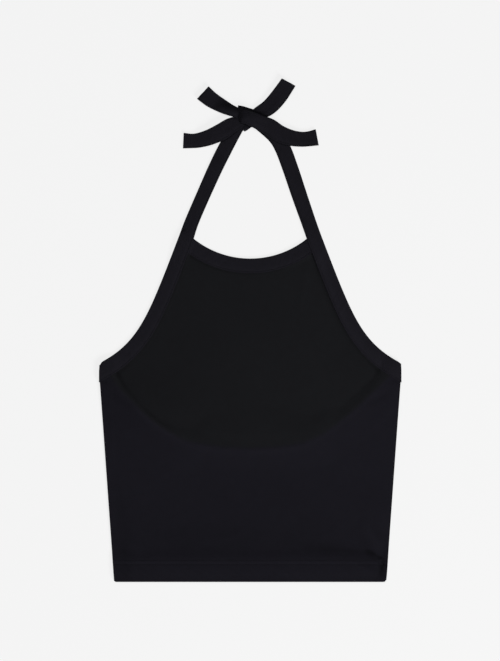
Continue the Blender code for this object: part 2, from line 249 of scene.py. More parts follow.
TIE_TURNED = 0.22

# Creases, as ridges (height above 0) or troughs (below 0) along a line that may bow sideways
FRONT_CREASES = (
    # from: across, up, to: across, up, bow, half width, height
    (136, 38, 162, 20, 1.5, 3.8, -1.9),
    (157, 34, 157.5, 2, 0, 4, -1.3),
    (166.5, 44, 165, -2, 0, 5.5, 1.4),
    (132, 76, 169, 31, -4, 8.5, 1.6),
    (112, 30, 150, 2, 1, 6.5, 1),
    (-168, 240, -163, 130, 0, 2.2, 0.3),
    (142, 100, 166, 58, 3, 8, 0.45),
    (60, 42, 138, 37, 2, 7.5, -0.7),
    (-158, 34, -118, 32, -2, 7, -0.55),
    (-151, 6, -153, 106, 3, 7.5, -0.75),
    (-135, 14, -141, 88, -3, 9, 0.35),
    (-164, 60, -168, 170, 2, 6, 0.3),
    (-66, 48, 0, 64, -5, 3.6, 0.32),
    (-60, 41, 4, 56, -5, 4, -0.25),
    (6, 66, 58, 60, 4, 5, 0.2),
    (-98, 78, -56, 93, 2, 5, -0.28),
    (44, 74, 96, 92, -3, 7, -0.22),
    (12, 96, 17, 148, 3, 6, 0.2),
    (-118, 118, -84, 138, 2, 7, 0.24),
    (96, 120, 128, 168, -4, 8, 0.26),
    (172, 232, 138, 214, 3, 5, -0.5),
    (176, 214, 150, 176, -5, 9, 0.4),
    (-172, 232, -134, 208, -3, 6, -0.5),
    (-174, 205, -150, 168, 4, 8, 0.3),
    (73, 392, 62, 318, -3, 5.5, 0.4),
    (63, 380, 47, 322, 2, 5, -0.3),
    (-76, 390, -66, 334, 3, 5, -0.3),
    (-60, 378, -44, 340, -2, 6, 0.22),
    (-16, 366, -8, 322, 1, 6, -0.16),
    (116, 304, 88, 268, 3, 7, 0.28),
    (-112, 290, -74, 262, -3, 7, 0.22),
    (-30, 236, 34, 244, 5, 9, 0.2),
)
BACK_CREASES = (
    (-158, 40, -118, 10, 3, 5, 0.3),
    (-60, 60, 20, 48, 5, 5, 0.22),
    (60, 96, 128, 80, -4, 6, 0.26),
    (-120, 120, -64, 100, 4, 6, 0.24),
    (140, 150, 150, 90, 4, 6, 0.28),
    (-20, 130, 40, 118, 3, 7, 0.2),
    (132, 36, 150, 8, -2, 5, 0.3),
)

# Painted light and shade: soft spots where the cloth is painted darker (below 0), where shade falls in folds
# and hollows and on slopes turned from the light, or lighter where light falls
FRONT_PAINTED_SHADING = (
    # across, up, reach across, reach up, change
    (-45, 52, 125, 21, -0.115),
    (60, 50, 50, 14, -0.04),
    (88, 42, 42, 8, -0.085),
    (-156, 92, 16, 18, -0.09),
    (-12, 90, 60, 14, -0.04),
    (-40, 160, 90, 34, 0.06),
    (60, 160, 90, 34, 0.04),
    (130, 176, 50, 40, 0.05),
    (-156, 194, 14, 14, -0.07),
    (-150, 235, 40, 30, -0.085),
    (-100, 238, 45, 40, -0.065),
    (56, 236, 80, 50, 0.035),
    (70, 330, 45, 50, 0.035),
    (-70, 320, 45, 50, -0.035),
    (72, 391, 9, 9, 0.12),
    (-78, 391, 8, 9, 0.07),
    (-159, 249.5, 5, 5, 0.22),
    (155, 252, 5, 5, 0.22),
    (-153, 12, 12, 16, -0.16),
    (-125, 12, 16, 9, -0.07),
    (-152, 48, 14, 24, -0.06),
    (148, 6, 13, 6, -0.09),
    (144, 28, 8, 6, -0.1),
    (155.5, 26, 7, 9, -0.07),
    (155.5, 17, 6.5, 8, -0.16),
)
# Spots of painted light and shade on the back, as for the front
BACK_PAINTED_SHADING = (
    (-60, 60, 90, 22, -0.09),
    (80, 110, 60, 40, 0.05),
    (-120, 140, 40, 50, -0.05),
)
UNDERARM_PAINTED_LIGHT = (
    # painted light in spots on both armhole bindings: across, up, reach across, reach up, change
    (158, 261, 6, 9, 0.1),
)
HEM_PAINTED_SHADING = (
    # up, half width, change: painted shade above the hem's step and at its fold, painted light between them
    (26.8, 1.5, -0.07), (23.3, 1.6, 0.05), (2.2, 1.9, -0.1),
)
EDGE_LINE = (
    # across, painted shade (below 0) or painted light in a thin line along the back's edge
    (-178, -0.14), (-150, -0.05), (-112, 0.07), (-60, 0), (70, 0), (95, 0.05), (150, 0.05),
)
EDGE_SLOPE = (
    # across, painted light on the slope past the back's edge
    (-150, 0.02), (-50, 0.03), (60, 0.05), (85, 0.1), (112, 0.12), (140, 0.1), (170, 0.05),
)

# Jersey: colour of the panels, and of the bindings and ties
PANEL_COLOUR = (0.0075, 0.0070, 0.0105)
PANEL_OPEN_COLOUR = (0.0074, 0.0076, 0.0089)
BAND_COLOUR = (0.0091, 0.0085, 0.0118)
TIE_COLOUR = (0.0079, 0.0073, 0.0102)
THREAD_COLOUR = (0.0056, 0.0053, 0.0070)
FLOOR_COLOUR = (0.12, 0.12, 0.12)
FLOOR_GLOW = 0.79
WALE = 0.74  # width of a column of knitted loops
COURSE = 0.56  # height of a row of loops

# Setting
FRAME_WIDTH = 600.0  # what the camera takes in at the top
CAMERA_HEIGHT = 3000.0
SENSOR = 36.0
VIEW_ACROSS = -0.24
VIEW_UP = 301.2
FLOOR_DROP = 0.25
FLOOR_HALF = 12000.0
SKY = 0.18
SOFTBOXES = {
    # power, size, distance, tilt from straight above the top, turn from below the hem to the right
    "overhead": (65.0, 700.0, 4200.0, 25.0, 190.0),
    "side": (162.0, 1200.0, 4000.0, 62.0, 38.0),
}


# Small tools


def unit(vectors):
    return vectors / np.maximum(np.linalg.norm(vectors, axis=-1, keepdims=True), 1e-9)


def between(a, b, share):
    return a + (b - a) * share


def soft(share):
    """A share from 0 to 1, eased at both ends."""
    return share * share * (3 - 2 * share)


def hump(value, middle, half):
    """1 at the middle, falling softly to a third at half a width from it, and on to 0."""
    return np.exp(-((value - middle) / half) ** 2)


def eased(value, rows):
    """Reads a table of (place, amount) rows, with an eased change from each row to the next."""
    places, amounts = np.array(rows, float).T
    slot = np.clip(np.searchsorted(places, value, side="right") - 1, 0, len(places) - 2)
    share = np.clip((value - places[slot]) / (places[slot + 1] - places[slot]), 0, 1)
    return between(amounts[slot], amounts[slot + 1], soft(share))


def solve(function, low, high):
    """Where the function passes zero, for each of an array of values at once."""
    starts_positive = function(low) > 0
    for _ in range(HALVINGS):
        middle = (low + high) / 2
        same = (function(middle) > 0) == starts_positive
        low, high = np.where(same, middle, low), np.where(same, high, middle)
    return (low + high) / 2


def wander(values, length, seed):
    """A smooth uneven wave between about -1 and 1, its swings about this long."""
    draw = np.random.default_rng(seed)
    total = 0
    for stretch in (0.7, 1.0, 1.7):
        total = total + np.sin(2 * np.pi * (values / (length * stretch) + draw.random()))
    return total / 2.2


def swell(across, up, length, seed):
    """Low uneven swells over an area."""
    draw = np.random.default_rng(seed)
    total = 0
    for _ in range(5):
        angle = draw.random() * 2 * np.pi
        wave = length * (0.7 + 0.8 * draw.random())
        run = across * np.cos(angle) + up * np.sin(angle)
        total = total + np.sin(2 * np.pi * (run / wave + draw.random()))
    return total / 3.2


def spaced(start, stop, step_at):
    """Places from start to stop, each a step from the last, with the step read at each place."""
    places = [start]
    while places[-1] < stop:
        places.append(places[-1] + step_at(places[-1]))
    places = np.array(places)
    return start + (places - start) * (stop - start) / (places[-1] - start)


def resampled(rows, step):
    """Rows of a path made evenly spaced, and how far along it each one is."""
    gaps = np.linalg.norm(np.diff(rows[:, :3], axis=0), axis=1)
    reach = np.concatenate([[0], np.cumsum(gaps)])
    along = np.linspace(0, reach[-1], max(2, round(reach[-1] / step)) + 1)
    return np.column_stack([np.interp(along, reach, column) for column in rows.T]), along


def smooth_path(table, step):
    """A smooth curve through a table's rows, in even steps."""
    rows = np.array(table, float)
    padded = np.vstack([2 * rows[0] - rows[1], rows, 2 * rows[-1] - rows[-2]])
    share = np.linspace(0, 1, CURVE_STEPS, endpoint=False)[:, None]
    curve = []
    for a, b, c, d in zip(padded, padded[1:], padded[2:], padded[3:]):
        curve.append(0.5 * (2 * b + (c - a) * share + (2 * a - 5 * b + 4 * c - d) * share ** 2
                            + (3 * b - a - 3 * c + d) * share ** 3))
    return resampled(np.vstack([*curve, rows[-1:]]), step)


def creases(table, across, up):
    """The height that a table's ridges and troughs add at each point."""
    total = np.zeros_like(across)
    for x0, y0, x1, y1, bow, half, height in table:
        run = np.array([x1 - x0, y1 - y0])
        length = np.linalg.norm(run)
        run = run / length
        share = ((across - x0) * run[0] + (up - y0) * run[1]) / length
        inside = np.clip(share, 0, 1)
        aside = (up - y0) * run[0] - (across - x0) * run[1] - bow * 4 * inside * (1 - inside)
        fade = np.clip(1 - (2 * share - 1) ** 2, 0, None) ** 0.8
        total += height * fade * (hump(aside, 0, half) - 0.25 * hump(aside / half, 0, 2.4))
    return total


def spots(table, across, up):
    """What a table of soft spots adds at each point."""
    total = np.zeros_like(across)
    for x, y, reach_across, reach_up, amount in table:
        total += amount * np.exp(-((across - x) / reach_across) ** 2 - ((up - y) / reach_up) ** 2)
    return total


# Lines of the pattern, for the right half of the body


def side_half(up):
    return np.minimum(HEM_HALF + SIDE_SLANT * up, SIDE_HALF)


def back_edge(across):
    bend = (np.abs(across) - BACK_BEND_ACROSS) / BACK_BEND_SOFTNESS
    line = BACK_LOW_UP + BACK_SLANT * BACK_BEND_SOFTNESS * np.log1p(np.exp(bend))
    return line + eased(across, BACK_SHIFTS)


def back_stretch(across):
    bend = (np.abs(across) - BACK_BEND_ACROSS) / BACK_BEND_SOFTNESS
    return np.hypot(1, BACK_SLANT / (1 + np.exp(-bend)))


def past_back_edge(across, up):
    return (up - back_edge(across)) / back_stretch(across)


def armhole_point(place, inset):
    """The point that lies inset from the armhole's edge, square to it at this place up it."""
    flare = ARMHOLE_FLARE * np.exp((UNDERARM_UP - place) / ARMHOLE_FADE)
    across = SHOULDER_HALF + ARMHOLE_SLANT * (SHOULDER_UP - place) + flare
    slope = ARMHOLE_SLANT + flare / ARMHOLE_FADE
    length = np.hypot(1, slope)
    return across - inset / length, place - inset * slope / length


def binding_width(place):
    return BINDING + BINDING_SPREAD * np.exp(np.minimum(0, UNDERARM_UP - place) / SPREAD_FADE)


def side_place(inset, half):
    """The place up the armhole's edge where the line at this inset is half this wide."""
    inset = np.asarray(inset, float)
    low = np.full(inset.shape, UNDERARM_UP - 2 * BINDING)
    high = np.full(inset.shape, SQUARE_UP)
    return solve(lambda place: armhole_point(place, inset)[0] - half, low, high)


def shoulder_place():
    """The place up the armhole's edge where the strap's inner edge meets the neck edge."""
    def outside(place):
        across, up = armhole_point(place, BINDING)
        return np.hypot(across, NECK_CENTRE_UP - up) - NECK_RADIUS - PANEL_INSET

    return float(solve(outside, np.array(SHOULDER_UP - BINDING), np.array(SHOULDER_UP + BINDING)))


def neck_inset(across, up):
    return np.hypot(across, NECK_CENTRE_UP - up) - NECK_RADIUS


def armhole_inset(across, up):
    """How far inside the armhole's edge each point is, less what its binding is wider there."""
    place = np.arange(UNDERARM_UP - 30, SHOULDER_UP + 30, 1.0)
    edge = np.column_stack(armhole_point(place, 0.0))
    inward = unit(np.column_stack(armhole_point(place, 1.0)) - edge)
    points = np.column_stack([np.abs(across).ravel(), up.ravel()])
    inset = np.empty(len(points))
    for start in range(0, len(points), POINTS_AT_ONCE):
        some = slice(start, start + POINTS_AT_ONCE)
        apart = points[some, None] - edge[None]
        nearest = np.argmin((apart ** 2).sum(-1), axis=1)
        inset[some] = (apart[np.arange(len(nearest)), nearest] * inward[nearest]).sum(-1)
        inset[some] -= binding_width(place[nearest]) - BINDING
    return inset.reshape(across.shape)


# Heights of the layers


BACK_HEIGHTS = (
    # distance past the back's top edge, height of the back panel's underside
    (-24, 0), (-16.5, LAYER),
)
BACK_THICK = 1.0
STACK_START = -36.0  # distance past the back's top edge where the front starts to rise over the binding
STACK_RISE = (
    # across, height that the front rises by over the binding
    (-150, 1.5), (-90, 1.7), (-50, 2.6), (70, 2.6), (120, 1.9), (160, 1.6),
)
STACK_CURVES = (
    # distance from the centre line, how late the rise comes
    (40, 1.9), (100, 0.9),
)
DROP_START = -3.0
DROP_LENGTHS = (
    # across, length of the front's drop past the back's edge
    (-176, 26), (-150, 11), (-104, 10), (-72, 20), (-40, 46), (24, 54), (88, 30), (112, 18), (146, 16),
    (176, 36),
)
DROP_SUDDEN = 0.6  # how sudden the drop's start is at the middle
HEM_ROLL = (
    # up, how much the front's hem stands off the back
    (1, 0), (17, 0.5), (24, 0.55), (52, 0),
)
HEM_ROLL_SHARES = (
    # across, share of that
    (-166, 0.4), (-142, 0.95), (-96, 0.8), (-40, 0.7), (20, 0.8), (80, 1.05), (130, 1.25), (152, 1.5),
    (167, 0.6),
)
SIDE_PINCH = (
    # distance from the side seam, how far the front sinks there onto the back
    (0.5, 0.16), (7, 0),
)


def back_under(across, up):
    return eased(past_back_edge(across, up), BACK_HEIGHTS)


def hem_share(up):
    return eased(up, ((HEM_ALLOWANCE - 1.5, 1), (HEM_ALLOWANCE + HEM_FADE, 0)))


def front_base(across, up):
    """Height of what the front's lowest layer lies on: the surface, the back or its binding."""
    past = past_back_edge(across, up)
    share = np.clip((past - DROP_START) / eased(across, DROP_LENGTHS), 0, 1)
    sudden = DROP_SUDDEN * eased(np.abs(across + 6), ((30, 1), (96, 0)))
    drop = between(soft(share), np.sqrt(share), sudden)
    rise = np.clip((past - STACK_START) / (DROP_START - STACK_START), 0, 1)
    rise = rise ** eased(np.abs(across), STACK_CURVES)
    base = (BACK_THICK + eased(across, STACK_RISE) * rise) * (1 - drop) + LAYER * hem_share(up)
    base = base + eased(up, HEM_ROLL) * eased(across, HEM_ROLL_SHARES)
    seam = eased(side_half(up) - np.abs(across), SIDE_PINCH)
    return base - seam * (up < UNDERARM_UP - 30)


def under_leg(inset, width):
    """Share of a binding's under layer that lies below a point at this inset from its edge."""
    return eased(inset, ((width - 0.5, 1), (width + 4.5, 0)))


def edge_shade(inset, width):
    """Painted shade: the dark line on a panel beside the inner edge of its binding."""
    return -EDGE_SHADE * hump(inset - width, 0.9, 2.1)


# Meshes


def blurred(grid):
    """Each point's mean with its neighbours along rows and columns."""
    total = np.zeros_like(grid)
    for axis in (0, 1):
        pad = [(BLUR_STEPS, BLUR_STEPS) if a == axis else (0, 0) for a in range(grid.ndim)]
        wide = np.pad(grid, pad, mode="edge")
        for shift in range(2 * BLUR_STEPS + 1):
            total += np.take(wide, np.arange(grid.shape[axis]) + shift, axis=axis)
    return total / (2 * (2 * BLUR_STEPS + 1))


def grid_normals(middle):
    return unit(np.cross(np.gradient(middle, axis=1), np.gradient(middle, axis=0)))


def new_piece(name, points, faces, weave, wear_and_shade, painted_shading, material):
    """A piece from points in millimetres, faces, and each point's place on the knit, its wear with painted
    shade, and its painted light and shade.

    Backed says how far a point has the dark back of the top behind it, instead of the surface.
    """
    shifted = points + np.array([0.0, hem_line, 0.0])
    mesh = bpy.data.meshes.new(name)
    mesh.from_pydata((shifted * MM).tolist(), [], faces.tolist())
    layer = mesh.uv_layers.new(name="cloth")
    corners = np.empty(len(mesh.loops), np.int32)
    mesh.loops.foreach_get("vertex_index", corners)
    layer.uv.foreach_set("vector", (weave[corners] * MM).astype(np.float32).ravel())
    backed = eased(past_back_edge(points[:, 0], points[:, 1]), ((-3, 1), (3, 0)))
    for title, values in (("wear_and_shade", wear_and_shade), ("painted_shading", painted_shading), ("backed", backed)):
        mesh.attributes.new(title, "FLOAT", "POINT").data.foreach_set("value", values.astype(np.float32))
    mesh.materials.append(materials[material])
    mesh.shade_smooth()
    mesh.set_sharp_from_angle(angle=math.radians(SHARP))
    made = placed(name, mesh)
    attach(made, BODY)
    return made


def cloth(name, middle, thickness, weave, kind, shade=0.0, painted_shading=0.0):
    """A closed sheet of cloth about a grid of points through its middle.

    Shade, below 0, is painted shade where the cloth lies in a crease or beside an edge. Painted shading is
    how much lighter, or below 0 darker, the cloth is painted for the light and shade that fall on it.
    """
    rows, columns = middle.shape[:2]
    normal = grid_normals(middle)
    half = np.broadcast_to(thickness, (rows, columns))[..., None] * normal / 2
    bulge = ((middle - blurred(middle)) * normal).sum(-1)
    # Bulges are worn lighter; hollows, and the painted shade given, come out darker
    upper_wear_and_shade, under_wear_and_shade = 0.5 + bulge + shade, 0.5 - bulge + shade
    wear_and_shade = np.concatenate([upper_wear_and_shade.ravel(), under_wear_and_shade.ravel()])
    points = np.concatenate([(middle + half).reshape(-1, 3), (middle - half).reshape(-1, 3)])
    index = np.arange(rows * columns).reshape(rows, columns)
    upper = np.stack([index[:-1, :-1], index[:-1, 1:], index[1:, 1:], index[1:, :-1]], -1).reshape(-1, 4)
    rim = np.concatenate([index[0], index[1:, -1], index[-1, -2::-1], index[-2:0:-1, 0]])
    after = np.roll(rim, -1)
    under = upper[:, ::-1] + rows * columns
    side = np.column_stack([rim, rim + rows * columns, after + rows * columns, after])
    places = np.concatenate([weave.reshape(-1, 2)] * 2)
    faces = np.concatenate([upper, under, side])
    painted_shading = np.tile(np.broadcast_to(painted_shading, (rows, columns)).ravel(), 2)
    return new_piece(f"{name}_cloth", points, faces, places, wear_and_shade, painted_shading, kind)


STITCH_SIDES = 6
STITCH_SECTIONS = (
    # share of the half length, share of the thread's thickness, height in threads
    (-1, 0.45, -0.75), (-0.8, 0.95, -0.1), (-0.3, 1, 0.3), (0.3, 1, 0.3), (0.8, 0.95, -0.1),
    (1, 0.45, -0.75),
)


def stitches(name, runs):
    """Stitches along runs of (points, normals) on the cloth, joined in one piece."""
    sides = np.arange(STITCH_SIDES)
    turns = 2 * np.pi * sides / STITCH_SIDES
    share, thick, lift = np.array(STITCH_SECTIONS).T[..., None]
    out, rise = thick * THREAD / 2 * np.cos(turns), lift * THREAD + thick * THREAD / 2 * np.sin(turns)
    template = np.stack([np.broadcast_to(share * STITCH_LENGTH / 2, out.shape), out, rise], -1).reshape(-1, 3)
    ring = STITCH_SIDES * np.arange(len(STITCH_SECTIONS) - 1)[:, None]
    a, b = ring + sides, ring + (sides + 1) % STITCH_SIDES
    quads = [np.stack([a, b, b + STITCH_SIDES, a + STITCH_SIDES], -1).reshape(-1, 4)]
    for cap in (sides[::-1], sides + len(template) - STITCH_SIDES):
        quads.append(cap[[[0, 1, 2, 3], [0, 3, 4, 5]]])
    quads = np.concatenate(quads)
    points, faces, weave = [], [], []
    draw = np.random.default_rng(len(name))
    count = 0
    for line, normals in runs:
        rows, _ = resampled(np.column_stack([line, normals]), STITCH_PITCH)
        middles = (rows[:-1] + rows[1:]) / 2
        run = unit(rows[1:, :3] - rows[:-1, :3])
        normal = unit(middles[:, 3:])
        aside = unit(np.cross(normal, run))
        normal = np.cross(run, aside)
        skew = draw.normal(0, 0.03, len(run))[:, None]
        run = unit(run + aside * skew)
        aside = np.cross(normal, run)
        basis = np.stack([run, aside, normal], 1)
        points.append((template[None] @ basis + middles[:, None, :3]).reshape(-1, 3))
        firsts = count + len(template) * np.arange(len(run))
        faces.append((quads[None] + firsts[:, None, None]).reshape(-1, 4))
        weave.append(np.tile(template[:, :2], (len(run), 1)))
        count += len(template) * len(run)
    points, faces, weave = (np.concatenate(part) for part in (points, faces, weave))
    wear_and_shade, painted_shading = np.full(len(points), 0.5), np.zeros(len(points))
    return new_piece(name, points, faces, weave, wear_and_shade, painted_shading, "thread")


# Panels


def body_step(up):
    near = min(abs(up - row) for row in HEM_STITCHES)
    if near < HEM_ROW_REACH:
        return HEM_ROW_STEP
    if up < HEM_ALLOWANCE + 6:
        return FINE_STEP
    return PANEL_STEP


def full_row(line):
    """Evenly spaced points along a line of the body, from side seam to side seam."""
    end = SIDE_HALF
    for _ in range(30):
        end = side_half(line(end))
    shares = np.linspace(-1, 1, 2 * round(SIDE_HALF / PANEL_STEP) + 1)
    return np.stack([shares * end, line(shares * end)], -1)


def body_rows(top_line):
    """Rows from the hem to a line of the body: level at the hem, and like the line at the top."""
    reach = float(top_line(np.array(0.0)))
    rows = []
    for up in spaced(0.0, reach, body_step):
        blend = soft(np.clip((up - LEVEL_UP) / (reach - LEVEL_UP), 0, 1))
        rows.append(full_row(lambda across: up + (top_line(across) - reach) * blend))
    return rows


def stitch_grooves(up, columns_along):
    """How far the hem's stitches draw the cloth in."""
    groove = 0
    for row, depth in zip(HEM_STITCHES, HEM_DRAWS):
        pull = 0.75 + 0.25 * np.cos(2 * np.pi * columns_along / STITCH_PITCH)
        groove = groove + depth * hump(up, row, 1.0) * pull
    return groove


def hemmed_panel(name, rows, under, sign, shade, painted_shading):
    """A panel with its hem turned in. Under gives the height of its lowest face at each point.

    Sign is 1 for the front, whose allowance lies below it, and -1 for the back, above.
    """
    outer = np.stack(rows)
    across, up = outer[..., 0], outer[..., 1]
    puff = HEM_PUFF * hump(up, 10.5, 8.5) * (1 + 0.3 * wander(across, 60, 3))
    share = hem_share(up)
    rope = 0.09 * wander(across + 1.4 * up, 9.0, 7) * share
    draw = stitch_grooves(up, across) * share
    if sign > 0:
        height = under(across, up) + CLOTH / 2 + (LAYER + 0.12) * share + puff * share + rope - draw
    else:
        height = under(across, up) + CLOTH / 2 + draw
    main = np.stack([across, up, height], -1)
    inner_up = spaced(HEM_FOLD, HEM_ALLOWANCE, lambda place: PANEL_STEP)[::-1]
    first = outer[0, :, 0]
    turned = []
    for place in inner_up:
        x = first * side_half(place) / side_half(0.0)
        flat = np.full_like(x, place)
        if sign > 0:
            z = front_base(x, flat) + CLOTH / 2
        else:
            z = back_under(x, flat) + CLOTH / 2 + LAYER + 0.05
        turned.append(np.stack([x, flat, z], -1))
    low, high = turned[-1][:, 2], main[0, :, 2]
    fold = []
    for angle in np.radians((-60, -30, 0, 30, 60)):
        drop = HEM_FOLD * np.cos(angle)
        z = (low + high) / 2 + (high - low) / 2 * np.sin(angle)
        fold.append(np.stack([first, HEM_FOLD - drop + 0 * first, z], -1))
    main[0, :, 1] = HEM_FOLD
    keep = main[1:][main[1:, 0, 1] > HEM_FOLD + 0.1]
    middle = np.concatenate([np.stack(turned), np.stack(fold), main[:1], keep])
    for side, radius in HEM_CORNERS:
        left = np.clip(1 - (side_half(middle[..., 1]) - side * middle[..., 0]) / radius, 0, 1)
        lift = radius * (1 - np.sqrt(1 - left ** 2)) * np.exp(-middle[..., 1] / radius)
        middle[..., 1] += lift
    gaps = np.linalg.norm(np.diff(middle[:, middle.shape[1] // 2], axis=0), axis=1)
    along = np.cumsum(np.concatenate([[0], gaps]))
    weave = np.stack([middle[..., 0], np.broadcast_to(along[:, None], middle.shape[:2])], -1)
    plan = (middle[..., 0], middle[..., 1])
    made = cloth(name, middle, CLOTH, weave, "panel", shade(*plan), painted_shading(*plan))
    normals = grid_normals(middle)
    runs = []
    for row in HEM_STITCHES:
        index = len(middle) - len(keep) + int(np.argmin(np.abs(keep[:, 0, 1] - row)))
        normal = sign * normals[index]
        runs.append((middle[index] + normal * CLOTH / 2, normal))
    return made, runs


def front_rows():
    shoulder = shoulder_place()
    corner = float(side_place(PANEL_INSET, SIDE_HALF))
    corner_up = armhole_point(corner, PANEL_INSET)[1]
    lower = body_rows(lambda across: corner_up + 0 * across)
    inner = armhole_point(shoulder, BINDING)
    outer = armhole_point(shoulder, PANEL_INSET)
    half_columns = round(SIDE_HALF / PANEL_STEP)
    under_strap = round(half_columns * UNDER_STRAP)
    radius = NECK_RADIUS + PANEL_INSET
    angles = np.linspace(0, math.asin(inner[0] / radius), half_columns - under_strap + 1)
    arc = np.stack([radius * np.sin(angles), NECK_CENTRE_UP - radius * np.cos(angles)], -1)
    shares = np.linspace(0, 1, under_strap + 1)[1:, None]
    strap = between(np.array(inner), np.array(outer), shares)
    right = np.concatenate([arc, strap])
    top = np.concatenate([right[:0:-1] * [-1, 1], right])
    rows = list(lower)
    low = lower[-1]
    count = round((shoulder - corner) / PANEL_STEP)
    for step in range(1, count + 1):
        share = step / count
        end, end_up = armhole_point(between(corner, shoulder, share), PANEL_INSET)
        lift = end_up - between(low[-1, 1], top[-1, 1], share)
        out = between(low[:, 0] / low[-1, 0], top[:, 0] / top[-1, 0], share)
        rows.append(np.stack([end * out, between(low[:, 1], top[:, 1], share) + lift * out * out], -1))
    return rows


def front_under(across, up):
    """Height of the front panel's underside away from its hem."""
    armhole, neck = armhole_inset(across, up), neck_inset(across, up)
    bound = LAYER * (under_leg(armhole, BINDING) + under_leg(neck, BINDING))
    free = eased(np.minimum(armhole, neck), ((BINDING - 2, 0), (BINDING + 14, 1)))
    shape = creases(FRONT_CREASES, across, up) + 0.22 * swell(across, up, 95.0, 11)
    shape = shape + 0.07 * swell(across, up, 31.0, 12)
    nearby = hump(np.minimum(armhole, neck) - BINDING, 3, 4)
    shape = shape + 0.1 * nearby * wander(across * 1.3 - up * 0.7, 13.0, 5)
    height = front_base(across, up) + bound + shape * free + 0.05
    least = eased(past_back_edge(across, up), ((0, 0.9), (12, 0))) + LAYER * hem_share(up)
    return least + 0.5 * (height - least + np.hypot(height - least, 0.3)) - 0.1


def front_shade(across, up):
    # Painted shade: dark lines beside the armhole and neck bindings, and in the troughs of the creases
    armhole = eased(up, ((376, 1), (393, -0.2))) * edge_shade(armhole_inset(across, up), BINDING)
    beside_neck = eased(across, ((-58, 1.2), (-20, 1), (34, 0.9), (60, -0.3)))
    neck = beside_neck * edge_shade(neck_inset(across, up), BINDING)
    return armhole + neck + 0.11 * np.clip(creases(FRONT_CREASES, across, up), -3, 0)


def front_painted_shading(across, up):
    past = past_back_edge(across, up)
    total = eased(across, EDGE_LINE) * hump(past, -1.5, 3.6) + eased(across, EDGE_SLOPE) * hump(past, 10, 9)
    for row, half, change in HEM_PAINTED_SHADING:
        total = total + change * hump(up, row, half)
    return total + spots(FRONT_PAINTED_SHADING, across, up)


def back_painted_shading(across, up):
    return spots(BACK_PAINTED_SHADING, across, up)


def back_shade(across, up):
    # Painted shade beside the back's binding
    return edge_shade(-past_back_edge(across, up), BINDING)


def back_panel_under(across, up):
    shape = creases(BACK_CREASES, across, up)
    free = eased(past_back_edge(across, up), ((-36, 1), (-24, 0)))
    return np.clip(back_under(across, up) + shape * free, 0.0, None)


# Strips: bindings, straps and the bow


EDGE_STEPS = np.array([0.0, 0.12, 0.4, 0.9, 1.5, 2.0, 2.5, 3.2, 4.4, 6.0, 7.4])
REST_SHARES = np.array([0.25, 0.5, 0.75, 1.0])
LIP_TURNS = np.radians((62, 31, 0, -31, -62))
NOSE = 0.45
FULL_WIDTH = 12.0  # a narrower strip has its edge steps drawn together


def strip_insets(width):
    """Insets from the folded edge of a strip's section: over its top layer to the fold, and back."""
    width = np.atleast_1d(width)[:, None]
    near = width - EDGE_STEPS * np.minimum(1, width / FULL_WIDTH)
    rest = between(near[:, -1:], LIP, REST_SHARES)
    layer = np.concatenate([near, rest], 1)
    lip = np.broadcast_to(LIP * (1 - np.cos(LIP_TURNS)), (len(width), len(LIP_TURNS)))
    return np.concatenate([layer, lip, layer[:, ::-1]], 1)


def strip_section(inset, width, along, slot, seed, puff, turned):
    """Heights of a strip's middle surface above its underside, and its thickness, at each inset.

    Slot is the room between the two layers, where a bound edge lies.
    """
    width, along = np.atleast_1d(width)[:, None], np.atleast_1d(along)[:, None]
    count = len(EDGE_STEPS) + len(REST_SHARES)
    edge = width - inset
    nose = np.sqrt(np.clip(1 - (1 - np.clip(edge / NOSE, 0, 1)) ** 2, 0.03, 1))
    thick = CLOTH + turned * eased(edge, ((TURNED_WIDTH - 2, 1), (TURNED_WIDTH + 3.5, 0)))
    crown = puff * np.clip(1 - ((inset - width / 2) / (width / 2)) ** 2, 0, 1) ** 0.7
    crown = crown * (1 + 0.35 * wander(along, 46.0, seed))
    curl = 0.22 * eased(edge, ((0, 1), (1.6, 0)))
    pull = 0.7 + 0.3 * np.cos(2 * np.pi * along / STITCH_PITCH)
    stitch = 0.3 * hump(edge, TOPSTITCH, 0.6) * pull
    drag = 0.075 * wander(along + 0.75 * inset, 8.5, seed + 1) * eased(edge, ((1, 0), (4, 1)))
    over = CLOTH + slot + thick / 2 + crown + curl - stitch + drag * (1 + wander(along, 70.0, seed + 2))
    below = np.full_like(inset, CLOTH / 2) + stitch * 0.6
    height = np.array(over)
    thickness = thick * nose
    height[:, -count:] = below[:, -count:]
    thickness[:, -count:] = (CLOTH * nose)[:, -count:]
    top, low = over[:, count - 1:count], below[:, -count:][:, :1]
    lip = slice(count, count + len(LIP_TURNS))
    height[:, lip] = (top + low) / 2 + (top - low) / 2 * np.sin(LIP_TURNS)
    thickness[:, lip] = CLOTH + 0.1
    return height, thickness


def strip_weave(inset, along):
    """Places on the knit: on round the fold, so that the two layers don't mirror each other."""
    side = np.concatenate([np.ones(inset.shape[1] // 2 + 1), -np.ones(inset.shape[1] // 2)])
    return np.stack([inset * side, np.broadcast_to(along[:, None], inset.shape)], -1)


def strip_runs(middle, thickness):
    """The lines of stitches on a strip's top layer and under layer, with the normals there."""
    normals = grid_normals(middle)
    top = int(np.argmin(np.abs(EDGE_STEPS - TOPSTITCH)))
    runs = []
    for column in (top, -1 - top):
        normal = normals[:, column]
        runs.append((middle[:, column] + normal * thickness[:, column, None] / 2, normal))
    return runs


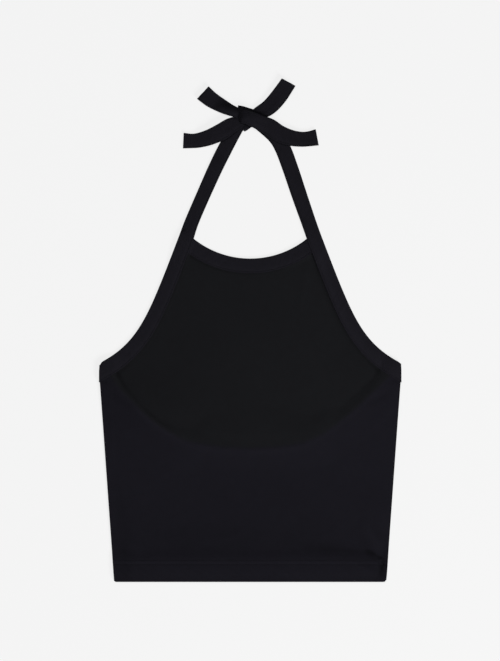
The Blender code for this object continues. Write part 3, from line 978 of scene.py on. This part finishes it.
def lying_strip(name, across, up, inset, width, along, low, slot, seed, flip,
                puff=0.28, turned=TURNED, shade=0.0, painted_shading=0.0):
    """A strip that lies flat, from plan points of its sections' insets."""
    height, thickness = strip_section(inset, width, along, slot, seed, puff, turned)
    middle = np.stack([across, up, low + height], -1)
    weave, shade = strip_weave(inset, along), np.broadcast_to(shade, inset.shape)
    painted_shading = np.broadcast_to(painted_shading, inset.shape)
    if flip:
        middle, thickness, weave, shade, painted_shading = (part[::-1] for part in (middle, thickness, weave, shade, painted_shading))
    return cloth(name, middle, thickness, weave, "binding", shade, painted_shading), strip_runs(middle, thickness)


def fold_painted_shade(inset):
    """Painted shade on a binding where it turns down to its fold."""
    return -0.085 * hump(inset, 1, 5)


def armhole_plan():
    """The right armhole binding's sections up to the shoulder: plan points, insets and widths."""
    corner = float(side_place(PANEL_INSET, SIDE_HALF))
    shoulder = shoulder_place()
    trial = np.linspace(corner, shoulder, ARMHOLE_TRIALS)
    edge = np.stack([*armhole_point(trial, BINDING / 2), 0 * trial, trial], -1)
    rows, _ = resampled(edge, STRIP_STEP)
    place = rows[:, 3]
    width = binding_width(place)
    inset = strip_insets(width)
    slant = np.clip((SQUARE_UP - place) / (SQUARE_UP - corner), 0, 1)[:, None] ** 2
    across, up = armhole_point(place[:, None] + slant * (side_place(inset, UNDERARM_HALF) - corner), inset)
    return across, up, inset, width


def strap_plan(side, table):
    """The same for a strap past the shoulder, flipped for the left one, and how far it is lifted."""
    shoulder = shoulder_place()
    edge, inner = np.array(armhole_point(shoulder, 0.0)), np.array(armhole_point(shoulder, BINDING))
    middle = (edge + inner) / 2
    before = armhole_point(shoulder - 12.0, BINDING / 2)
    start = [(*point, 0.0, BINDING) for point in (before, middle)]
    rest = [(side * across, up, lift, width) for across, up, lift, width in table]
    rows, _ = smooth_path([*start, *rest], STRIP_STEP)
    ahead = unit(np.gradient(rows[:, :2], axis=0))
    outward = np.stack([ahead[:, 1], -ahead[:, 0]], -1)
    keep = rows[:, 1] > middle[1] + STRIP_STEP * 0.5
    rows, outward = rows[keep], outward[keep]
    width = rows[:, 3]
    inset = strip_insets(width)
    reach = width[:, None] / 2 - inset
    across = rows[:, :1] + outward[:, :1] * reach
    up = rows[:, 1:2] + outward[:, 1:] * reach
    return across, up, inset, width, rows[:, 2]


STRAP_PINCHES = {
    # up, inset from the folded edge, half length, half width, depth of the dent and of its painted shade
    "left": ((421, 1.5, 2.8, 4, 1.1), (470, 12, 9, 5, 0.3), (508, 5, 8, 6, 0.35)),
    "right": ((433, 13, 6, 5, 0.35), (486, 4, 9, 6, 0.3), (519, 12, 5, 5, 0.4)),
}


def armhole_tie(name, side):
    """An armhole binding that runs on past the shoulder as a strap, its fold on the outer edge."""
    key = "left" if side < 0 else "right"
    *strap, lift = strap_plan(side, STRAPS[key])
    across, up, inset, width = (np.concatenate(parts) for parts in zip(armhole_plan(), strap))
    lift = np.concatenate([np.zeros(len(width) - len(lift)), lift])[:, None]
    near_side = (UNDERARM_HALF - across) / CORNER_REACH[0]
    near_end = np.minimum(inset, UNDERARM_UP - up) / CORNER_REACH[1]
    corner = np.exp(-near_side ** 2 - near_end ** 2)
    across = across - CORNER_SHIFT[0] * UNDERARM_CORNERS[key] * corner
    up = up - CORNER_SHIFT[1] * UNDERARM_CORNERS[key] * corner
    gaps = np.hypot(np.diff(across[:, 8]), np.diff(up[:, 8]))
    along = np.concatenate([[0], np.cumsum(gaps)])
    rise = eased(up, ((SHOULDER_UP - 6, 1), (SHOULDER_UP + 34, 0)))
    neck = eased(neck_inset(across, up), ((BINDING, 1), (BINDING + 30, 0)))
    bound = eased(up, ((SHOULDER_UP - 6, 1), (SHOULDER_UP + 40, 0)))
    slot = (LAYER + SLACK) * bound + 0.05 + neck * rise * (2 * LAYER + TURNED)
    low = np.maximum(front_base(across, up), 0) + lift
    shade = 0.0
    for place, where, half_length, half_width, depth in STRAP_PINCHES[key]:
        near = np.exp(-((up - place) / half_length) ** 2 - ((inset - where) / half_width) ** 2)
        slot = slot - 0.6 * depth * near
        # painted shade in the dent
        shade = shade - 0.5 * depth * near
    # Painted shade darkens the straps past the shoulder and where the binding turns to its fold; on the
    # right, painted light lightens a line near the shoulder
    painted_shading = -0.066 * eased(up, ((SHOULDER_UP, 0), (SHOULDER_UP + 36, 1))) + fold_painted_shade(inset)
    painted_shading = painted_shading + spots(UNDERARM_PAINTED_LIGHT, np.abs(across), up)
    if side > 0:
        painted_shading = painted_shading + 0.08 * hump(inset, 12.5, 5) * eased(up, ((390, 1), (404, 0)))
    return lying_strip(name, side * across, up, inset, width, along, low, slot, 20 + side, side < 0,
                       shade=shade, painted_shading=painted_shading)


def neck_binding():
    """The neck edge's binding, whose ends run on under the armhole bindings."""
    end = math.asin(NECK_END)
    count = round(2 * end * (NECK_RADIUS + BINDING / 2) / STRIP_STEP)
    angle = np.linspace(-end, end, count + 1)
    width = np.full(count + 1, BINDING)
    inset = strip_insets(width)
    radius = NECK_RADIUS + inset
    across = radius * np.sin(angle)[:, None]
    up = NECK_CENTRE_UP - radius * np.cos(angle)[:, None]
    armhole = armhole_inset(across, up)
    low = front_base(across, up) + LAYER * under_leg(armhole, BINDING)
    slot = np.full(inset.shape, LAYER + SLACK)
    along = (NECK_RADIUS + BINDING / 2) * (angle - angle[0])
    return lying_strip("neck_binding", across, up, inset, width, along, low, slot, 31, True,
                       painted_shading=fold_painted_shade(inset))


def back_edge_binding():
    """The binding of the back's top edge."""
    end = SIDE_HALF - BACK_EDGE_SHORT
    trial = np.linspace(-end, end, BACK_TRIALS)
    rows, along = resampled(np.stack([trial, back_edge(trial), 0 * trial], -1), STRIP_STEP)
    width = np.full(len(rows), BINDING)
    inset = strip_insets(width)
    across = np.broadcast_to(rows[:, :1], inset.shape).copy()
    up = back_edge(across) - inset * back_stretch(across)
    slot = np.full(inset.shape, CLOTH + 0.02)
    return lying_strip("back_edge_binding", across, up, inset, width, along, 0.0, slot, 41, False,
                       puff=0.0, turned=0.0)


def carried(along, start):
    """A direction carried along a run without twisting about it."""
    directions = [start]
    for ahead in along:
        last = directions[-1]
        directions.append(unit(last - ahead * np.dot(last, ahead)))
    return np.array(directions[1:])


def bow_strip(name, table, step, fold_side, seed, hem_start):
    """A strip of the bow along its path. A hem start is given to one whose first end is free."""
    rows, along = smooth_path(table, step)
    path, width = rows[:, :3], rows[:, 3]
    ahead = unit(np.gradient(path, axis=0))
    top = int(np.argmax(path[:, 2]))
    start = np.array([ahead[top, 1], -ahead[top, 0], 0.0])
    right = np.concatenate([carried(ahead[top::-1], start)[::-1], carried(ahead[top + 1:], start)])
    normal = np.cross(right, ahead)
    roll = np.radians(rows[:, 4])[:, None]
    right, normal = right * np.cos(roll) + normal * np.sin(roll), normal * np.cos(roll) - right * np.sin(roll)
    inset = strip_insets(width)
    height, thickness = strip_section(inset, width, along, TIE_AIR, seed, TIE_PUFF, TIE_TURNED)
    whole = 2 * CLOTH + TIE_AIR + TIE_TURNED
    height = height - whole / 2
    if hem_start:
        hem = eased(along, ((TIE_HEM - 0.8, 1), (TIE_HEM + 0.8, 0)))[:, None]
        stitched = 0.25 * hump(along - TIE_HEM, -1.6, 0.8)[:, None]
        height = height * (1 + (TIE_HEM_SWELL * 2 * hem - stitched) / whole * 2)
        end = np.sqrt(np.clip(1 - (1 - np.clip(along / 0.9, 0, 1)) ** 2, 0.05, 1))[:, None]
        height, thickness = height * end, thickness * np.maximum(end, 0.35)
    aside = (width[:, None] / 2 - inset) * fold_side
    share = 2 * aside / width[:, None]
    bend = -rows[:, 5:6] * hump(share, 0, 0.32) - rows[:, 6:7] * share ** 2
    bend = bend + 0.1 * wander(along, 21.0, seed + 3)[:, None] * share
    middle = path[:, None] + right[:, None] * aside[..., None] + normal[:, None] * (height + bend)[..., None]
    middle[..., 2] = 0.4 + 0.5 * (middle[..., 2] - 0.4 + np.hypot(middle[..., 2] - 0.4, 0.15))
    weave = strip_weave(inset, along)
    if fold_side < 0:
        middle, thickness, weave = middle[::-1], thickness[::-1], weave[::-1]
    painted_shading = spots(BOW_PAINTED_SHADING[name], middle[..., 0], middle[..., 1])
    return cloth(name, middle, thickness, weave, "tie", painted_shading=painted_shading), strip_runs(middle, thickness)


# Materials


def feed(tree, made, inputs):
    """Links or sets a node's inputs, each given by its name or number."""
    for key, value in inputs.items():
        if isinstance(value, bpy.types.NodeSocket):
            tree.links.new(value, made.inputs[key])
        else:
            made.inputs[key].default_value = value


def node(tree, kind, inputs=None, **settings):
    made = tree.nodes.new(kind)
    for key, value in settings.items():
        setattr(made, key, value)
    feed(tree, made, inputs or {})
    return made


def maths(tree, operation, *values):
    return node(tree, "ShaderNodeMath", dict(enumerate(values)), operation=operation).outputs[0]


def mixed(tree, share, first, second, blend="MIX"):
    made = node(tree, "ShaderNodeMix", {0: share, 6: first, 7: second}, data_type="RGBA", blend_type=blend)
    return made.outputs[2]


def noise(tree, vector, scale, detail):
    made = node(tree, "ShaderNodeTexNoise", {"Vector": vector, "Scale": scale, "Detail": detail})
    return made.outputs["Fac"]


def attribute(tree, name):
    return node(tree, "ShaderNodeAttribute", attribute_name=name).outputs["Fac"]


def knit_place(tree):
    return node(tree, "ShaderNodeUVMap", uv_map="cloth").outputs["UV"]


def object_place(tree):
    return node(tree, "ShaderNodeTexCoord").outputs["Object"]


def relief(tree, height, strength, depth):
    made = node(tree, "ShaderNodeBump", {"Strength": strength, "Distance": depth * MM, "Height": height})
    return made.outputs["Normal"]


def group(name, inputs, outputs):
    """A new shader node group, as (tree, outputs of its input node, its output node)."""
    tree = bpy.data.node_groups.new(name, "ShaderNodeTree")
    for side, titles in (("INPUT", inputs), ("OUTPUT", outputs)):
        for title, kind in titles.items():
            tree.interface.new_socket(title, in_out=side, socket_type=f"NodeSocket{kind}")
    return tree, node(tree, "NodeGroupInput").outputs, node(tree, "NodeGroupOutput")


def knit_group():
    """Columns of knitted loops, each two leaning legs: a height and the dark gaps between them."""
    tree, given, result = group(
        "jersey_knit",
        {"Vector": "Vector", "Wale": "Float", "Course": "Float"},
        {"Height": "Float", "Gap": "Float"},
    )
    split = node(tree, "ShaderNodeSeparateXYZ", {0: given["Vector"]}).outputs
    drift = maths(tree, "MULTIPLY", noise(tree, given["Vector"], 45.0, 1.0), 0.6)
    column = maths(tree, "ADD", maths(tree, "DIVIDE", split["X"], given["Wale"]), drift)
    row = maths(tree, "DIVIDE", split["Y"], given["Course"])
    aside = maths(tree, "ABSOLUTE", maths(tree, "SUBTRACT", maths(tree, "FRACT", column), 0.5))
    leaning = maths(tree, "FRACT", maths(tree, "SUBTRACT", row, maths(tree, "MULTIPLY", aside, 1.5)))
    yarn = maths(tree, "SINE", maths(tree, "MULTIPLY", leaning, math.pi))
    from_leg = maths(tree, "MULTIPLY", maths(tree, "SUBTRACT", aside, 0.25), 4.0)
    leg = maths(tree, "SUBTRACT", 1.0, maths(tree, "MULTIPLY", from_leg, from_leg))
    height = maths(tree, "MULTIPLY", leg, maths(tree, "MULTIPLY_ADD", yarn, 0.65, 0.35))
    feed(tree, result, {"Height": height, "Gap": maths(tree, "SUBTRACT", 1.0, height)})
    return tree


def tone_group():
    """Dye that varies a little, darker gaps, fibres, folded edges worn lighter, painted shade in hollows,
    creases and beside edges, and painted light and shade.
    """
    tree, given, result = group(
        "worn_tone",
        {"Colour": "Color", "Vector": "Vector", "Gap": "Float", "Wear and shade": "Float", "Wear and shade strength": "Float",
         "Painted shading": "Float"},
        {"Colour": "Color", "Roughness": "Float", "Fibre": "Float"},
    )
    broad = noise(tree, given["Vector"], 16.0, 3.0)
    patchy = noise(tree, given["Vector"], 130.0, 3.0)
    fibre = noise(tree, given["Vector"], 2600.0, 3.0)
    level = maths(tree, "MULTIPLY_ADD", broad, 0.16, 0.92)
    level = maths(tree, "ADD", level, maths(tree, "MULTIPLY_ADD", patchy, 0.12, -0.06))
    level = maths(tree, "ADD", level, maths(tree, "MULTIPLY_ADD", fibre, 0.5, -0.25))
    level = maths(tree, "SUBTRACT", level, maths(tree, "MULTIPLY", given["Gap"], 0.16))
    # Ridges are worn lighter; past a small threshold, painted shade darkens hollows and creases
    raised = maths(tree, "SUBTRACT", given["Wear and shade"], 0.5)
    level = maths(tree, "MULTIPLY_ADD", raised, given["Wear and shade strength"], level)
    painted_hollow_shade = maths(tree, "MAXIMUM", maths(tree, "SUBTRACT", -0.18, raised), 0.0)
    level = maths(tree, "MULTIPLY_ADD", painted_hollow_shade, -1.1, level)
    # Painted light and shade
    level = maths(tree, "MAXIMUM", maths(tree, "ADD", level, given["Painted shading"]), 0.3)
    shade = node(tree, "ShaderNodeCombineColor", {0: level, 1: level, 2: level}).outputs[0]
    rough = maths(tree, "MULTIPLY_ADD", fibre, 0.16, 0.8)
    feed(tree, result, {
        "Colour": mixed(tree, 1.0, given["Colour"], shade, "MULTIPLY"),
        "Roughness": maths(tree, "MULTIPLY_ADD", maths(tree, "MAXIMUM", raised, 0.0), -0.1, rough),
        "Fibre": fibre,
    })
    return tree


def new_material(name):
    made = bpy.data.materials.new(name)
    made.use_nodes = True
    return made, made.node_tree, made.node_tree.nodes["Principled BSDF"]


def jersey(name, colour, open_colour, sheen, wear_and_shade_strength):
    """Matte cotton jersey with a short fuzz of fibres. Its open colour is of cloth with nothing dark behind
    it.
    """
    made, tree, shader = new_material(name)
    knit = node(tree, "ShaderNodeGroup", {
        "Vector": knit_place(tree),
        "Wale": WALE * MM,
        "Course": COURSE * MM,
    }, node_tree=groups["knit"]).outputs
    tone = node(tree, "ShaderNodeGroup", {
        "Colour": mixed(tree, attribute(tree, "backed"), (*open_colour, 1), (*colour, 1)),
        "Vector": object_place(tree),
        "Gap": knit["Gap"],
        "Wear and shade": attribute(tree, "wear_and_shade"),
        "Wear and shade strength": wear_and_shade_strength,
        "Painted shading": attribute(tree, "painted_shading"),
    }, node_tree=groups["tone"]).outputs
    fuzz = maths(tree, "MULTIPLY_ADD", tone["Fibre"], 0.5, knit["Height"])
    feed(tree, shader, {
        "Base Color": tone["Colour"],
        "Roughness": tone["Roughness"],
        "Normal": relief(tree, fuzz, 0.55, 0.11),
        "Specular IOR Level": 0.06,
        "Sheen Weight": sheen,
        "Sheen Roughness": 0.45,
        "Sheen Tint": (0.55, 0.53, 0.62, 1),
    })
    return made


def thread_material():
    """Twisted polyester thread, a little glossier than the cotton."""
    made, tree, shader = new_material("black_thread")
    split = node(tree, "ShaderNodeSeparateXYZ", {0: knit_place(tree)}).outputs
    turn = maths(tree, "ADD", maths(tree, "DIVIDE", split["X"], 0.32 * MM),
                 maths(tree, "DIVIDE", split["Y"], 0.5 * MM))
    ply = maths(tree, "ABSOLUTE", maths(tree, "SINE", maths(tree, "MULTIPLY", turn, math.pi)))
    low = tuple(0.7 * part for part in THREAD_COLOUR)
    feed(tree, shader, {
        "Base Color": mixed(tree, ply, (*low, 1), (*THREAD_COLOUR, 1)),
        "Roughness": maths(tree, "MULTIPLY_ADD", ply, -0.12, 0.62),
        "Normal": relief(tree, ply, 0.5, 0.05),
        "Specular IOR Level": 0.06,
    })
    return made


def floor_material():
    """A table that is lit from inside, so that the top throws hardly any shadow on it."""
    made, tree, shader = new_material("pale_floor")
    less = tuple(0.995 * part for part in FLOOR_COLOUR)
    grain = noise(tree, object_place(tree), 900.0, 2.0)
    feed(tree, shader, {
        "Base Color": mixed(tree, grain, (*less, 1), (*FLOOR_COLOUR, 1)),
        "Roughness": 0.9,
        "Specular IOR Level": 0.0,
        "Emission Color": (1, 1, 1, 1),
        "Emission Strength": FLOOR_GLOW,
    })
    return made


# Setting


def placed(name, data, where=(0, 0, 0), turned=(0, 0, 0)):
    """An object in the scene, its place in millimetres from the middle of the frame's base."""
    made = bpy.data.objects.new(name, data)
    made.location = [part * MM for part in where]
    made.rotation_euler = turned
    bpy.context.scene.collection.objects.link(made)
    return made


def floor():
    mesh = bpy.data.meshes.new("floor")
    half, low = FLOOR_HALF * MM, -FLOOR_DROP * MM
    corners = [(-half, -half, low), (half, -half, low), (half, half, low), (-half, half, low)]
    mesh.from_pydata(corners, [], [(0, 1, 2, 3)])
    mesh.materials.append(floor_material())
    placed("floor", mesh)


def lights():
    world = bpy.data.worlds.new("studio")
    world.use_nodes = True
    feed(world.node_tree, world.node_tree.nodes["Background"], {"Color": (1, 1, 1, 1), "Strength": SKY})
    bpy.context.scene.world = world
    for name, (power, size, distance, tilt, turn) in SOFTBOXES.items():
        softbox = bpy.data.lights.new(name, "AREA")
        softbox.energy, softbox.size = power, size * MM
        tilt, turn = math.radians(tilt), math.radians(turn)
        aside, height = distance * math.sin(tilt), distance * math.cos(tilt)
        where = (aside * math.sin(turn), VIEW_UP + hem_line - aside * math.cos(turn), height)
        placed(name, softbox, where, (tilt, 0, turn))


def camera():
    lens = bpy.data.cameras.new("camera")
    lens.sensor_fit, lens.sensor_width = "HORIZONTAL", SENSOR
    lens.lens = SENSOR * CAMERA_HEIGHT / FRAME_WIDTH
    lens.clip_start, lens.clip_end = 0.05, 20
    where = (VIEW_ACROSS, VIEW_UP + hem_line, CAMERA_HEIGHT)
    bpy.context.scene.camera = placed("camera", lens, where)


# The top


def sew(piece, node_name, thread):
    """Stitches a piece, and hides the part of model.glb that it stands for."""
    made, runs = piece
    sewn = stitches(thread, runs)
    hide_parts(node_name)


def build():
    back_rows = body_rows(lambda across: back_edge(across) - PANEL_INSET * back_stretch(across))
    back = hemmed_panel("back_panel", back_rows, back_panel_under, -1, back_shade, back_painted_shading)
    sew(back, "back_panel", "back_hem_stitches")
    edge = back_edge_binding()
    sew(edge, "back_edge_binding", "back_edge_stitches")
    front = hemmed_panel("front_panel", front_rows(), front_under, 1, front_shade, front_painted_shading)
    sew(front, "front_panel", "front_hem_stitches")
    sew(neck_binding(), "neck_binding", "neck_stitches")
    ties = {"left_armhole_tie": -1, "right_armhole_tie": 1}
    for name, side in ties.items():
        thread = name.replace("armhole_tie", "tie_stitches")
        sew(armhole_tie(name, side), name, thread)
    for number, (name, table) in enumerate(BOW_STRIPS.items()):
        free = name.endswith("end")
        step = TIE_END_STEP if free else LOOP_STEP
        fold_side = -1 if name.startswith("left") else 1
        made = bow_strip(name, table, step, fold_side, 50 + 7 * number, free)
        sew(made, name, f"{name}_stitches")


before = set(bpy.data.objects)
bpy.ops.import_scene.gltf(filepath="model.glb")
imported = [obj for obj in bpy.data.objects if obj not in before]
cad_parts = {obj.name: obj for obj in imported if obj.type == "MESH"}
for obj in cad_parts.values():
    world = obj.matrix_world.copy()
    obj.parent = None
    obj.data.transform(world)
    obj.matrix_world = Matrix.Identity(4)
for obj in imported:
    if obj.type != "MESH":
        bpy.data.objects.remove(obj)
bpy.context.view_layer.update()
hem_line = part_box("front_panel")[0].y / MM
groups = {"knit": knit_group(), "tone": tone_group()}
materials = {
    "panel": jersey("panel_jersey", PANEL_COLOUR, PANEL_OPEN_COLOUR, 0.03, 0.3),
    "binding": jersey("binding_jersey", BAND_COLOUR, BAND_COLOUR, 0.035, 0.2),
    "tie": jersey("tie_jersey", TIE_COLOUR, TIE_COLOUR, 0.035, 0.3),
    "thread": thread_material(),
}
build()
floor()
lights()
camera()
bpy.context.scene.view_settings.view_transform = "Standard"
